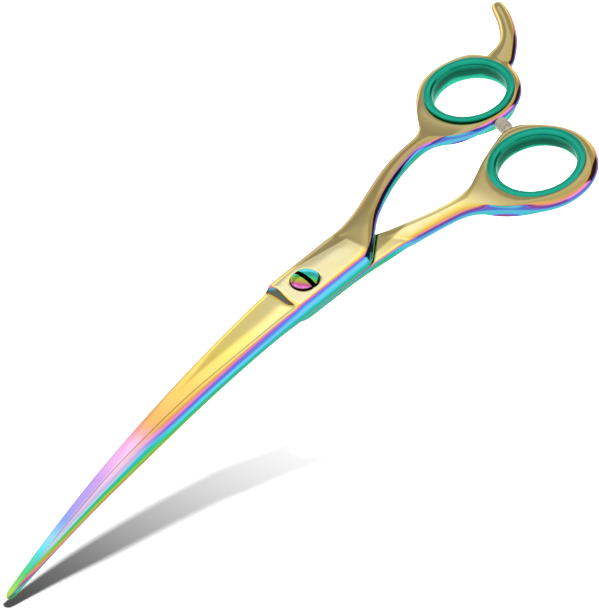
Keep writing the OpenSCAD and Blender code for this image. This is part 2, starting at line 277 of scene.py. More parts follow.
class Half:
    """The blade, block, handle and ring of one half, as one cage."""

    def __init__(self, spine, edge, bow, wall, end_wall, run, skew):
        """bow: sense of the curve. wall, end_wall and run: heights and slope of the block's edge side."""
        self.cage = Cage()
        self.spine, self.edge, self.bow = spine, edge, bow
        self.wall, self.end_wall, self.run, self.skew = wall, end_wall, run, skew
        self.rows = []

    def sides(self, x):
        ys, ye = along(self.spine, x / BLADE_L), along(self.edge, x / BLADE_L)
        d = x + BLADE_L
        k = 1 if d >= 2 else math.sqrt(1 - (1 - max(0.06, d / 2)) ** 2)
        mid = (ys + ye) / 2
        return mix(mid, ys, k), mix(mid, ye, k)

    def lift(self, x, v, h):
        return h + GAP / 2 - self.bow * fall(x, v)

    def face_h(self, x, v, ys, ye):
        """Height of the outer face of the blade over the parting surface."""
        t = mix(TIP_T, HALF_T, along(THICKNESS, x / BLADE_L))
        ridge = ys + ridge_run(x)
        u = clamp((v - ridge) / (ye - ridge))
        hollow = HOLLOW * mix(1, 0.4, ease((-x - 30) / 45))
        flat = mix(t, EDGE_TOP, u) - hollow * 4 * u * (1 - u)
        bevel = EDGE_T + (ye - v) * BEVEL_RISE / BEVEL_W
        return max(EDGE_T, min(flat, bevel))

    def put_row(self, x, skew, top, under, side_b, side_a):
        """One section from (v, h) points: the top, the bottom at h 0, and the two side points."""
        def at(v, h):
            return (x + skew * self.skew * step_skew(v), v, self.lift(x, v, h))

        (v_b, h_b), (v_a, h_a) = side_b, side_a
        low_side = (x, v_a - SIDE_OUT * min(1, (v_b - v_a) / 5), self.lift(x, v_a, h_a))
        high, low = [at(v, h) for v, h in top], [at(v, 0) for v in reversed(under)]
        return high + [at(v_b, h_b)] + low + [low_side]

    def blade_row(self, x, skew=0):
        ys, ye = self.sides(x)
        width = ye - ys
        t = self.face_h(x, ys + min(ridge_run(x), width * 0.3), ys, ye)
        ridge = ys + min(max(0.5, ridge_run(x)), width * 0.45)
        bevel = ye - min(BEVEL_W, width * 0.3)
        back = min(BACK_W, (ridge - ys) * 0.6)
        across = [ys + back] + [mix(ridge, bevel, i / 6) for i in range(7)] + [ye - 0.02]
        top = [(v, self.face_h(x, v, ys, ye)) for v in across]
        top[0] = (across[0], 0.87 * t)
        under = [ys + BELOW_IN * min(1, width / 5)] + across[1:]
        return self.put_row(x, skew, top, under, (ye, EDGE_T / 2), (ys, 0.36 * t))

    def block_row(self, x, skew=0):
        ys, ye = self.sides(x)
        low = max(ys + 2.4, PATCH[0]) if ys < PATCH[0] - 1 else ys + 2.4
        high = min(ye - self.run - 0.3, PATCH[-1])
        inner = [mix(low, high, i / 4) for i in range(5)]
        shoulder = min(ys + BACK_W + 0.7, mix(ys, low, 0.8))
        across = [min(ys + BACK_W, shoulder - 0.4), shoulder] + inner + [ye - self.run, ye - 0.12]
        wall = mix(self.wall, self.end_wall, ease((x - 6) / 22))
        heights = [0.89, 1.0] + [1.0] * 5 + [0.99, wall / HALF_T]
        top = []
        for v, k in zip(across, heights):
            cut = CUT_SLOPE * max(0, v - CUT_START + CUT_SKEW * (x - 1)) * ease((ye - v) / 0.8)
            top.append((v, HALF_T * k - cut))
        under = [ys + BELOW_IN, across[1]] + inner + [across[7], ye - 0.05]
        return self.put_row(x, skew, top, under, (ye, wall * 0.45), (ys, 0.36 * HALF_T))

    def handle_points(self, station, square=0):
        """A rounded section between its two sides."""
        ax, av, bx, bv, h, b = station
        a, c = Vector((ax, av)), Vector((bx, bv))
        mid, across = (a + c) / 2, (c - a).normalized()
        w = (c - a).length / 2
        grow = 1 / spline_factor(LOOP)
        r = min(w, b)
        g = ease((w - r) / (2 * r))

        def at(t, angle, sign):
            rad = math.radians(angle)
            s, k = abs(math.sin(rad)), math.cos(rad)
            lift = b * grow * s ** mix(1, 0.45, square)
            offset = t * (w - r) + r * grow * math.copysign(abs(k) ** mix(1, 0.6, square), k)
            p = mid + across * offset
            return (p.x, p.y, h + sign * lift)

        ts = [mix(p, q, g) for p, q in zip(ROUND_T, FLAT_T)]
        angles = [mix(p, q, g) for p, q in zip(ROUND_A, FLAT_A)]
        top = [at(t, a, 1) for t, a in zip(ts, angles)]
        bottom = [at(t, a, -1) for t, a in zip(ts, angles)]
        side_b, side_a = at(1, 0, 0), at(-1, 180, 0)
        return top + [side_b] + bottom[::-1] + [side_a]

    def row(self, points, sharp=(), across_crease=None):
        """Adds one section. sharp holds (index, crease) for the lines that run along the half."""
        ids = self.cage.ring(points)
        if self.rows:
            last = self.rows[-1]
            for j, weight in sharp:
                self.cage.crease(last[j], ids[j], weight)
        if across_crease:
            for j, weight in across_crease:
                self.cage.crease(ids[j], ids[(j + 1) % LOOP], weight)
        self.rows.append(ids)
        return ids

    def skin(self, first, last, skip=lambda i, j: False):
        for i in range(first, last):
            for j in range(LOOP):
                if not skip(i, j):
                    a, b = self.rows[i], self.rows[i + 1]
                    self.cage.face(a[j], b[j], b[(j + 1) % LOOP], a[(j + 1) % LOOP])

    def cap(self, ids):
        for j in range(TOP - 1):
            self.cage.face(ids[j], ids[j + 1], ids[below(j + 1)], ids[below(j)])
        self.cage.face(ids[TOP - 1], ids[SIDE_B], ids[below(TOP - 1)])
        self.cage.face(ids[below(0)], ids[SIDE_A], ids[0])

    def hole(self, patch, profile_top, profile_bottom):
        """Joins the square openings of the two faces with round steps, as (radius, h, crease)."""
        def border(flip):
            names = [below(j) for j in range(2, 7)] if flip else list(range(2, 7))
            ring = [patch[0][j] for j in names]
            ring += [patch[i][names[-1]] for i in range(1, 5)]
            ring += [patch[4][j] for j in names[-2::-1]]
            return ring + [patch[i][names[0]] for i in range(3, 0, -1)]

        def circle(radius, h, ring):
            corners = [self.cage.points[k] for k in ring]
            angles = [math.atan2(p[1], p[0]) for p in corners]
            grow = radius / spline_factor(len(ring))
            return [self.cage.add((math.cos(a) * grow, math.sin(a) * grow, h)) for a in angles]

        def bridge(outer, inner):
            n = len(outer)
            for k in range(n):
                self.cage.face(outer[k], inner[k], inner[(k + 1) % n], outer[(k + 1) % n])

        ends = []
        for flip, profile in ((False, profile_top), (True, profile_bottom)):
            ring = border(flip)
            last = ring
            for radius, h, weight in profile:
                new = circle(radius, h, ring)
                self.cage.crease_loop(new, weight)
                bridge(last, new)
                last = new
            ends.append(last)
        bridge(ends[0], ends[1])


RING_N = 24
RING_K = 8
REST_SEGMENT = 15


class RingSpec:
    """A ring: bore about centre, rim about hoop with a radius by angle, half height b, first segment."""

    def __init__(self, centre, hoop, bore_r, outer, b, start):
        self.centre, self.hoop, self.bore_r = centre, hoop, bore_r
        self.outer, self.b, self.start = outer, b, start


def add_ring(half, spec, rest_at=None):
    """Adds the ring of a half. Returns its rows by name, over the segments, without the joined points."""
    cage = half.cage
    step = 2 * math.pi / RING_N
    grow = 1 / spline_factor(RING_N)
    joined = set(range(1, RING_K))
    flat = set(range(0, RING_K + 1))
    if rest_at is not None:
        joined |= {rest_at + 1}
        flat |= {rest_at, rest_at + 1, rest_at + 2}
    rows = {name: [] for name in ("it", "tt", "ot", "om", "ob", "bb", "ib", "im")}
    for k in range(RING_N):
        a = math.radians(spec.start) - step * k
        d = Vector((math.cos(a), math.sin(a)))
        rim = spec.hoop + d * spec.outer(a) * grow
        bore = spec.centre + d * spec.bore_r * grow
        wall = rim - bore
        b = spec.b
        edge = 0.93 if k in flat else 0.76
        inset = 0.72 if k in flat else 0.8
        if k in joined:
            edge, inset = 1, 0.86

        def put(name, share, h):
            p = bore + wall * share
            rows[name].append(cage.add((p.x, p.y, h)))

        put("it", 0.0, b * 0.8)
        put("tt", 0.3, b * 1.02)
        put("ot", inset, b * edge)
        if k in joined:
            rows["om"].append(None)
        else:
            put("om", 1.02, 0)
        put("ob", inset, -b * edge)
        put("bb", 0.3, -b * 1.02)
        put("ib", 0.0, -b * 0.8)
        put("im", 0.0, 0)
    order = ["it", "tt", "ot", "om", "ob", "bb", "ib", "im"]
    open_segments = set(range(RING_K))
    if rest_at is not None:
        open_segments |= {rest_at, rest_at + 1}
    for k in range(RING_N):
        n = (k + 1) % RING_N
        for one, two in zip(order, order[1:] + order[:1]):
            if "om" in (one, two) and k in open_segments:
                continue
            cage.face(rows[one][k], rows[one][n], rows[two][n], rows[two][k])
    for name in ("it", "ib"):
        cage.crease_loop(rows[name], 0.6)
    return rows


def join_handle(half, rows, stations):
    """Bridges the last handle section to the ring through web sections with curved station lines."""
    cage = half.cage
    start = half.rows[-1]
    target = [rows["ot"][k] for k in range(RING_K + 1)] + [rows["om"][RING_K]]
    target += [rows["ob"][k] for k in range(RING_K, -1, -1)] + [rows["om"][0]]
    count = len(stations) + 1
    first = len(half.rows) - 1
    for i, station in enumerate(stations, 1):
        plain = half.handle_points(station)
        f = i / count
        points = []
        for j in range(LOOP):
            p, s, t = Vector(plain[j]), Vector(cage.points[start[j]]), Vector(cage.points[target[j]])
            if j in (SIDE_A, SIDE_B):
                points.append(p)
                continue
            column = j if j < TOP else below(j)
            u = (FLAT_T[column] + 1) / 2
            ends = []
            for end in (0, TOP - 1):
                k = end if j < TOP else below(end)
                straight = Vector(cage.points[start[k]]).lerp(Vector(cage.points[target[k]]), f)
                ends.append(Vector(plain[k]) - straight)
            coons = s.lerp(t, f) + ends[0].lerp(ends[1], u)
            mixed = p.lerp(coons, ease(f * 1.6))
            mixed.z = mix(p.z, t.z, ease((f - 0.6) / 0.4) * 0.5)
            points.append(mixed)
        half.row(points)
    half.rows.append(target)
    half.skin(first, len(half.rows) - 1)


def add_rest(half, rows, at, stations):
    """The finger rest: a tapering horn that grows out of two segments of the ring."""
    cage = half.cage
    last = [rows["ot"][at + 2], rows["ot"][at + 1], rows["ot"][at], rows["om"][at],
            rows["ob"][at], rows["ob"][at + 1], rows["ob"][at + 2], rows["om"][at + 2]]
    angles = (135, 90, 45, 0, -45, -90, -135, 180)
    places = (-1, 0, 1, 1, 1, 0, -1, -1)
    grow = 1 / spline_factor(8)
    centres = [Vector((s[0], s[1])) for s in stations]
    rings = []
    for i, (x, v, w, h, b) in enumerate(stations):
        ahead = centres[min(i + 1, len(stations) - 1)] - centres[max(i - 1, 0)]
        ahead.normalize()
        side = Vector((-ahead.y, ahead.x))
        r = min(w, b)
        ids = []
        for t, angle in zip(places, angles):
            rad = math.radians(angle)
            p = centres[i] + side * (t * (w - r) + r * grow * math.cos(rad))
            ids.append(cage.add((p.x, p.y, h + b * grow * math.sin(rad))))
        rings.append((ids, ahead, r, h))
    end_ids, ahead, r, h = rings[-1]
    shrink = []
    tip = centres[-1] + ahead * r * 0.8
    for k in end_ids:
        p = Vector(cage.points[k])
        base = Vector((centres[-1].x, centres[-1].y, h))
        q = base + (p - base) * 0.72
        shrink.append(cage.add((q.x + ahead.x * r * 0.72, q.y + ahead.y * r * 0.72, q.z)))
    rings.append((shrink, ahead, r, h))
    centre = cage.add((tip.x + ahead.x * r * 0.3, tip.y + ahead.y * r * 0.3, h))
    for ids, _, _, _ in rings:
        for j in range(8):
            cage.face(last[j], ids[j], ids[(j + 1) % 8], last[(j + 1) % 8])
        last = ids
    cage.face(last[0], last[1], centre, last[7])
    cage.face(last[1], last[2], last[3], centre)
    cage.face(last[3], last[4], last[5], centre)
    cage.face(last[5], last[6], last[7], centre)


def blade_stations():
    near_tip = [-BLADE_L + d for d in (0, 0.7, 1.6, 3, 6)]
    return near_tip + [mix(-BLADE_L + 10, -12, (i / 22) ** 0.97) for i in range(23)]


BLADE_SHARP = [(SIDE_B, 1), (TOP - 1, 0.9), (TOP + 1, 1), (7, 0.55), (LOOP - 2, 0.75), (1, 0.06)]
STEP_FRONT = -9.4
STEP_W = 0.9


def build_half(half, handle, web, ring, rest, block_end, hole_top, hole_bottom):
    block_sharp = [(TOP + 1, 0.85), (LOOP - 2, 0.8), (0, 0.2)]
    half.cap(half.row(half.blade_row(-BLADE_L)))
    for x in blade_stations()[1:]:
        half.row(half.blade_row(x), BLADE_SHARP)
    face = [(j, 0.75) for j in range(1, TOP - 1)]
    half.row(half.blade_row(STEP_FRONT, 1), BLADE_SHARP, face)
    half.row(half.block_row(STEP_FRONT + STEP_W, 1), block_sharp, face)
    patch = []
    for x in PATCH:
        patch.append(half.row(half.block_row(x), block_sharp))
    first_patch = len(half.rows) - len(PATCH)
    for x in block_end:
        half.row(half.block_row(x), block_sharp)
    for i, station in enumerate(handle):
        fade, square = max(0, 0.8 - 0.4 * i), max(0, 0.8 - 0.3 * i)
        half.row(half.handle_points(station, square), [(TOP + 1, fade), (LOOP - 2, fade)])

    def skip(i, j):
        inside = first_patch <= i < first_patch + 4
        return inside and (2 <= j < 6 or below(6) <= j < below(2))

    half.skin(0, len(half.rows) - 1, skip)
    half.hole(patch, hole_top, hole_bottom)
    at = REST_SEGMENT if rest else None
    rows = add_ring(half, ring, at)
    join_handle(half, rows, web)
    if rest:
        add_rest(half, rows, at, rest)
    return half.cage


def front_place(p):
    return (p[0], p[1], PARTING_Z + p[2])


def rear_place(p):
    return (p[0], -p[1], PARTING_Z - p[2])


def make_front():
    half = Half(FRONT_SPINE, FRONT_EDGE, bow=1, wall=2.5, end_wall=2.5, run=2.2, skew=2.6)
    centre = Vector((FINGER_C.x, FINGER_C.y))

    def outer(a):
        """Wider away from the bumper and in the fillet beside the finger rest."""
        deg = math.degrees(a) % 360
        side = 0.5 - 0.5 * math.cos(a - math.radians(255))
        return FINGER_BORE_R + RIM_W + BUMPER_LAP + 1.2 * side + 1.3 * math.exp(-((deg - 40) / 14) ** 2)

    ring = RingSpec(centre, centre, FINGER_BORE_R + 0.06, outer, b=1.6, start=247)
    top = HALF_T + GAP / 2
    seat, neck_r = top - 1.35, 2.6
    hole_top = [(SEAT_R + 0.08, top, 0.9), (SEAT_R, top - 0.1, 0.9), (SEAT_R, seat, 0.9),
                (neck_r, seat, 0.9)]
    hole_bottom = [(neck_r, GAP / 2, 0.9)]
    block_end = (8, 11, 14, 16.2)
    return build_half(half, FRONT_HANDLE, FRONT_WEB, ring, REST, block_end, hole_top, hole_bottom)


def make_rear():
    half = Half(REAR_SPINE, REAR_EDGE, bow=-1, wall=1.5, end_wall=3.1, run=3.4, skew=0.6)
    centre = Vector((THUMB_C.x, -THUMB_C.y))
    hoop = Vector((HOOP_C.x, -HOOP_C.y))
    boss_angle = math.atan2(-BOSS.y - hoop.y, BOSS.x - hoop.x)

    def outer(a):
        """Wider towards the ring end, with the mound that carries the bumper."""
        d = (a - boss_angle + math.pi) % (2 * math.pi) - math.pi
        width = 0.38 if d > 0 else 0.27
        return 15.95 + 0.5 * math.cos(a - math.radians(85)) + 3.3 * math.exp(-(d / width) ** 2)

    ring = RingSpec(centre, hoop, THUMB_BORE_R + 0.06, outer, b=2.15, start=256)
    top = HALF_T + GAP / 2
    hole_top = [(BUSH_R + 0.1, top, 0.9), (BUSH_R, top - 0.1, 0.9), (BUSH_R, 0.6, 0.9)]
    recess_r, recess = 5.0, 0.5
    hole_bottom = [(recess_r, GAP / 2, 0.9), (recess_r, recess, 0.9), (BUSH_R, recess, 0.9)]
    block_end = (8, 11, 14, 17, 20, 23, 26, 28.2)
    return build_half(half, REAR_HANDLE, REAR_WEB, ring, None, block_end, hole_top, hole_bottom)


# ---------------------------------------------------------------- turned pieces

def turned(name, profile, centre, axis=(0, 0, 1), segments=96, smooth=40, closed=True):
    """A piece turned from a profile of (radius, height) points about an axis through centre."""
    turn = Vector(axis).to_track_quat("Z", "Y")
    bm = bmesh.new()

    def vert(x, y, z):
        return bm.verts.new((Vector(centre) + turn @ Vector((x, y, z))) * MM)

    rings = []
    for r, z in profile:
        if r < 1e-6:
            rings.append([vert(0, 0, z)])
            continue
        angles = [2 * math.pi * i / segments for i in range(segments)]
        rings.append([vert(r * math.cos(a), r * math.sin(a), z) for a in angles])
    pairs = list(zip(rings, rings[1:])) + ([(rings[-1], rings[0])] if closed else [])
    for one, two in pairs:
        for i in range(segments):
            n = (i + 1) % segments
            if len(one) == 1 and len(two) == 1:
                break
            if len(one) == 1:
                bm.faces.new((one[0], two[i], two[n]))
            elif len(two) == 1:
                bm.faces.new((one[i], two[0], one[n]))
            else:
                bm.faces.new((one[i], two[i], two[n], one[n]))
    return finish_mesh(name, bm, smooth)


def finish_mesh(name, bm, smooth):
    bmesh.ops.recalc_face_normals(bm, faces=bm.faces)
    for f in bm.faces:
        f.smooth = True
    for e in bm.edges:
        if len(e.link_faces) == 2 and e.calc_face_angle() > math.radians(smooth):
            e.smooth = False
    mesh = bpy.data.meshes.new(name)
    bm.to_mesh(mesh)
    bm.free()
    obj = bpy.data.objects.new(name, mesh)
    bpy.context.scene.collection.objects.link(obj)
    return obj


def arc(r, z, radius, start, end, count=6):
    out = []
    for i in range(count + 1):
        a = math.radians(mix(start, end, i / count))
        out.append((r + radius * math.cos(a), z + radius * math.sin(a)))
    return out


def insert_profile(hole, bore, lip, top, bottom, low):
    """Soft ring: rolled lip above, sleeve through the metal, deeper lip below."""
    lip_h = 0.75
    fat = lip_h / 2 - 0.02
    inner = min(0.9, bore - hole - 0.1)
    deep = min(0.8, (low - bottom) / 2 - 0.02)
    return (arc(hole + inner, bottom + inner, inner, 180, 270)
            + arc(lip - deep, bottom + deep, deep, 270, 360)
            + [(lip, low - 0.1), (lip - 0.1, low), (bore, low), (bore, top - lip_h)]
            + arc(lip - fat, top - fat, fat, -90, 90)
            + arc(hole + inner, top - inner, inner, 90, 180))


def make_bumper():
    finger = Vector((FINGER_C.x, FINGER_C.y, PARTING_Z))
    axis = (finger - BOSS).normalized()
    tip = (finger - BOSS).length - (FINGER_BORE_R + RIM_W) - 0.03 - BUMPER_LAP
    base, radius, ribs = 2.1, 1.9, 4
    pitch = (tip - base - 0.5) / ribs
    profile = [(0, base - 1.2), (0.9, base - 1.2), (0.9, base)]
    soft = 0.25
    for i in range(ribs):
        z = base + i * pitch
        profile += arc(radius - soft, z + 0.4 * pitch, soft, -80, 0, 3)
        profile += arc(radius - soft, z + 0.6 * pitch, soft, 0, 80, 3)
        profile += [(radius - 0.55, z + pitch)]
    profile += arc(radius - 0.8, tip - 0.55, 0.55, 10, 90, 6) + [(0, tip)]
    return turned("bumper_rubber", profile, BOSS, axis, segments=64, smooth=50, closed=False)


def make_bushing():
    top, bottom = bushing_high.z, bushing_low.z
    r = BUSH_R - 0.03
    dimple = bottom + 0.12
    profile = [(0, dimple), (0.55, dimple), (0.75, bottom), (r - 0.2, bottom), (r, bottom + 0.2)]
    profile += [(r, top), (0, top)]
    return turned("pivot_bushing_turned", profile, (0, 0, 0), smooth=25, closed=False)


def make_screw():
    """Slotted, domed screw: two half-moon faces, slot floor and walls, the rim, the neck and the tail."""
    dome_h, slot, depth, edge_r, slot_r = 0.85, 1.3, 1.3, 0.22, 0.12
    rim_z, top_z = screw_high.z - dome_h, screw_high.z
    dome_r = (HEAD_R ** 2 + dome_h ** 2) / (2 * dome_h)
    turn = math.radians(-8)
    bm = bmesh.new()
    cache = {}

    def dome(x, y):
        r = min(HEAD_R, math.hypot(x, y))
        z = top_z - dome_r + math.sqrt(dome_r ** 2 - r * r)
        for away, soft in ((HEAD_R - r, edge_r), (max(0, abs(x) - slot / 2), slot_r)):
            if away < soft:
                z -= soft - math.sqrt(max(0, soft ** 2 - (soft - away) ** 2))
        return z

    def vert(x, y, z):
        key = (round(x, 5), round(y, 5), round(z, 5))
        if key not in cache:
            c, s = math.cos(turn), math.sin(turn)
            cache[key] = bm.verts.new(Vector((x * c - y * s, x * s + y * c, z)) * MM)
        return cache[key]

    def quad(*points):
        verts = []
        for p in points:
            v = vert(*p)
            if v not in verts:
                verts.append(v)
        if len(verts) > 2:
            bm.faces.new(verts)

    nu, half_chord = 40, math.sqrt(HEAD_R ** 2 - (slot / 2) ** 2)
    shares = [0, 0.012, 0.03, 0.06, 0.15, 0.3, 0.45, 0.6, 0.75, 0.86, 0.93, 0.965, 0.985, 1]
    side_angle = math.acos(slot / 2 / HEAD_R)
    floor = rim_z - depth
    neck_z = PARTING_Z - 0.4
    base_z = screw_low.z
    head_z = rim_z - 1.45

    def chord_y(i):
        a = mix(-side_angle, side_angle, i / nu)
        return mix(-half_chord, half_chord, (math.sin(a) / math.sin(side_angle) + 1) / 2)

    for side in (-1, 1):
        grid = []
        for i in range(nu + 1):
            a = mix(-side_angle, side_angle, i / nu)
            rim = (side * HEAD_R * math.cos(a), HEAD_R * math.sin(a))
            chord = (side * slot / 2, chord_y(i))
            grid.append([(mix(chord[0], rim[0], s), mix(chord[1], rim[1], s)) for s in shares])
        for i in range(nu):
            for j in range(len(shares) - 1):
                p = [grid[i][j], grid[i + 1][j], grid[i + 1][j + 1], grid[i][j + 1]]
                quad(*[(x, y, dome(x, y)) for x, y in p])
            for j in (0, -1):
                p, q = grid[i][j], grid[i + 1][j]
                quad((*p, dome(*p)), (*q, dome(*q)), (*q, floor), (*p, floor))
            quad((*p, floor), (*q, floor), (*q, head_z), (*p, head_z))
    n_end = 6
    for i in range(nu):
        a, b, x = chord_y(i), chord_y(i + 1), slot / 2
        quad((-x, a, floor), (x, a, floor), (x, b, floor), (-x, b, floor))
    for end in (-1, 1):
        arc_points = []
        for k in range(n_end + 1):
            x = mix(-slot / 2, slot / 2, k / n_end)
            arc_points.append((x, end * math.sqrt(HEAD_R ** 2 - x * x)))
        cap = [vert(*p, floor) for p in arc_points]
        bm.faces.new(cap)
        for p, q in zip(arc_points, arc_points[1:]):
            quad((*p, floor), (*q, floor), (*q, head_z), (*p, head_z))
    low = {(round(v.co.x / MM, 4), round(v.co.y / MM, 4)): v
           for v in bm.verts if abs(v.co.z / MM - head_z) < 1e-4}
    under = sorted(low.values(), key=lambda v: math.atan2(v.co.y, v.co.x))
    last = under
    neck_r, tail_r = 2.5, 1.75
    steps = [(neck_r, head_z), (neck_r, neck_z), (tail_r, neck_z), (tail_r, base_z + 0.25), (1.5, base_z)]
    for r, z in steps:
        ring = []
        for v in under:
            a = math.atan2(v.co.y, v.co.x)
            ring.append(bm.verts.new(Vector((r * math.cos(a), r * math.sin(a), z)) * MM))
        for i in range(len(under)):
            n = (i + 1) % len(under)
            bm.faces.new((last[i], last[n], ring[n], ring[i]))
        last = ring
    bm.faces.new(last)
    return finish_mesh("pivot_screw_slotted", bm, 35)


# ---------------------------------------------------------------- materials

class Nodes:
    """Short names for building a node tree."""

    def __init__(self, tree):
        self.tree = tree

    def make(self, kind, settings=None, **inputs):
        node = self.tree.nodes.new(kind)
        for key, value in (settings or {}).items():
            setattr(node, key, value)
        for key, value in inputs.items():
            self.set(node, key, value)
        return node

    def set(self, node, key, value):
        """Links or sets one input. i0, i1 and so on name an input by its place, other keys by its label."""
        by_place = key[0] == "i" and key[1:].isdigit()
        socket = node.inputs[int(key[1:]) if by_place else key.replace("_", " ")]
        if isinstance(value, bpy.types.NodeSocket):
            self.tree.links.new(value, socket)
        else:
            socket.default_value = value

    def math(self, operation, a, b=0.0, clamped=False):
        settings = {"operation": operation, "use_clamp": clamped}
        return self.make("ShaderNodeMath", settings, i0=a, i1=b).outputs[0]

    def add(self, *terms):
        out = terms[0]
        for term in terms[1:]:
            out = self.math("ADD", out, term)
        return out

    def times(self, *factors):
        out = factors[0]
        for factor in factors[1:]:
            out = self.math("MULTIPLY", out, factor)
        return out

    def rise(self, value, low, high, start=0.0, end=1.0, kind="SMOOTHSTEP"):
        """Goes from start to end while the value goes from low to high, which may also lie below low."""
        settings = {"interpolation_type": kind}
        return self.make("ShaderNodeMapRange", settings, Value=value,
                         From_Min=low, From_Max=high, To_Min=start, To_Max=end).outputs[0]

    def split(self, vector):
        return self.make("ShaderNodeSeparateXYZ", i0=vector).outputs[:3]

    def ramp(self, value, stops):
        node = self.make("ShaderNodeValToRGB", Fac=value)
        elements = node.color_ramp.elements
        while len(elements) > 1:
            elements.remove(elements[-1])
        elements[0].position, elements[0].color = stops[0][0], (*stops[0][1], 1)
        for position, colour in stops[1:]:
            elements.new(position).color = (*colour, 1)
        return node.outputs["Color"]

    def curve(self, value, points):
        """A plain number read from (value, number) points."""
        return self.ramp(value, [(place, (number, number, number)) for place, number in points])

    def noise(self, vector, scale, detail):
        return self.make("ShaderNodeTexNoise", Vector=vector, Scale=scale, Detail=detail).outputs["Fac"]

    def mix(self, a, b, share):
        return self.make("ShaderNodeMix", {"data_type": "RGBA"}, i0=share, i6=a, i7=b).outputs[2]


class Coat(Nodes):
    """A material worked out from the place on the object. spot is that place, x, y and z are its parts."""

    def __init__(self, name):
        self.material = bpy.data.materials.new(name)
        self.material.use_nodes = True
        super().__init__(self.material.node_tree)
        self.shader = self.tree.nodes["Principled BSDF"]
        where = self.make("ShaderNodeTexCoord")
        self.spot, self.normal = where.outputs["Object"], where.outputs["Normal"]
        self.x, self.y, self.z = self.split(self.spot)

    def put(self, **inputs):
        for key, value in inputs.items():
            self.set(self.shader, key, value)

    def bump(self, height, strength, distance=0.0001):
        node = self.make("ShaderNodeBump", Height=height, Strength=strength, Distance=distance)
        self.put(Normal=node.outputs["Normal"])

    def vary(self, value, middle, amount):
        """Amount times the distance of a value from its middle."""
        return self.times(self.math("SUBTRACT", value, middle), amount)


def linear(r, g, b):
    def one(c):
        c /= 255
        return c / 12.92 if c <= 0.04045 else ((c + 0.055) / 1.055) ** 2.4
    return (one(r), one(g), one(b))


CREAM = linear(246, 236, 190)
YELLOW = linear(250, 226, 116)
GOLD = linear(242, 200, 96)
BRONZE = linear(232, 166, 90)
ROSE = linear(240, 146, 136)
PINK = linear(244, 150, 226)
VIOLET = linear(172, 100, 222)
BLUE = linear(84, 128, 226)
SKY = linear(112, 200, 240)
CYAN = linear(70, 210, 224)
TEAL = linear(50, 198, 182)
GREEN = linear(70, 196, 108)
LIME = linear(150, 206, 72)
OLIVE = linear(190, 172, 70)
MAGENTA = linear(206, 84, 150)
SLATE = linear(110, 110, 150)
# painted reflection: the dark tone that the flats reflect
FLAT_DARK_REFLECTION = linear(176, 158, 104)
# painted shade: the step face's olive tint darkened
STEP_OLIVE_SHADE = linear(96, 84, 44)
PALE = (0.9, 0.86, 0.88)
# painted shade in the screw's slot and counterbore
SLOT_SHADE = (0.012, 0.011, 0.010)

# oxide colours in the order they follow each other
RAINBOW = [
    (0.0, CREAM), (0.04, YELLOW), (0.09, GOLD), (0.15, BRONZE), (0.19, ROSE), (0.24, PINK), (0.29, VIOLET),
    (0.34, BLUE), (0.39, SKY), (0.43, CYAN), (0.48, TEAL), (0.54, GREEN), (0.62, LIME), (0.69, OLIVE),
    (0.76, ROSE), (0.82, MAGENTA), (0.88, SLATE), (0.94, TEAL), (1.0, GREEN)]
# (tilt of the surface in degrees, place in the order)
TURN_TO_COLOUR = [
    (0, 0), (7, 0.04), (13, 0.09), (19, 0.15), (24, 0.19), (28, 0.24), (35, 0.29), (44, 0.34), (53, 0.39),
    (63, 0.43), (75, 0.47), (90, 0.5), (102, 0.54), (125, 0.45), (145, 0.3), (162, 0.12), (180, 0)]
# shift of the order along the blade as (mm from the pivot towards the tip, shift)
TIP_SHIFT = [
    (20, 0), (36, 0.02), (50, 0.05), (60, 0.1), (69, 0.18), (80, 0.22), (93, 0.26), (104, 0.35),
    (112, 0.44), (118, 0.53), (122.5, 0.6)]

LENGTHWISE = 0.03
SHANK_SHIFT = 0.13
HANDLE_SLOWER = 0.44
CLOUD_MIDDLE, CLOUD_SHIFT = 0.4, 0.07
DARK_REFLECTION_SHARE, STEP_SHARE, PALE_SHARE = 0.9, 0.9, 0.5


def rainbow_order(n, nx, ny, nz, at_step):
    """Place in the colour order, from the sideways tilt, slower towards +Y and on the handle, and x."""
    lengthwise = n.add(n.times(at_step, 1 - LENGTHWISE), LENGTHWISE)
    sideways = n.math("SQRT", n.add(n.times(ny, ny), n.times(nx, nx, lengthwise)))
    tilt = n.math("DIVIDE", n.math("ARCTAN2", sideways, nz), math.pi)
    on_handle = n.rise(n.x, 17 * MM, 30 * MM)
    gentle = n.rise(tilt, 0.1, 0.36, 0.3, 1.0)
    finger_side = n.rise(ny, -0.05, 0.12)
    share = n.add(n.times(n.math("SUBTRACT", gentle, 1.0), finger_side), 1.0)
    share = n.times(share, n.math("SUBTRACT", 1.0, n.times(on_handle, HANDLE_SLOWER)))
    order = n.curve(n.times(tilt, share), [(angle / 180, place) for angle, place in TURN_TO_COLOUR])
    way = n.times(n.x, -1 / (BLADE_L * MM))
    tip = n.curve(way, [(distance / BLADE_L, shift) for distance, shift in TIP_SHIFT])
    along_shank = n.times(n.rise(n.x, 27 * MM, 40 * MM), n.rise(n.x, 61 * MM, 54 * MM))
    shank = n.times(along_shank, n.rise(n.y, 0.0, 4 * MM), SHANK_SHIFT)
    cloud = n.noise(n.spot, 55.0, 3.0)
    place = n.add(order, tip, shank, n.vary(cloud, CLOUD_MIDDLE, CLOUD_SHIFT))
    return n.math("MULTIPLY", place, 1.0, True)


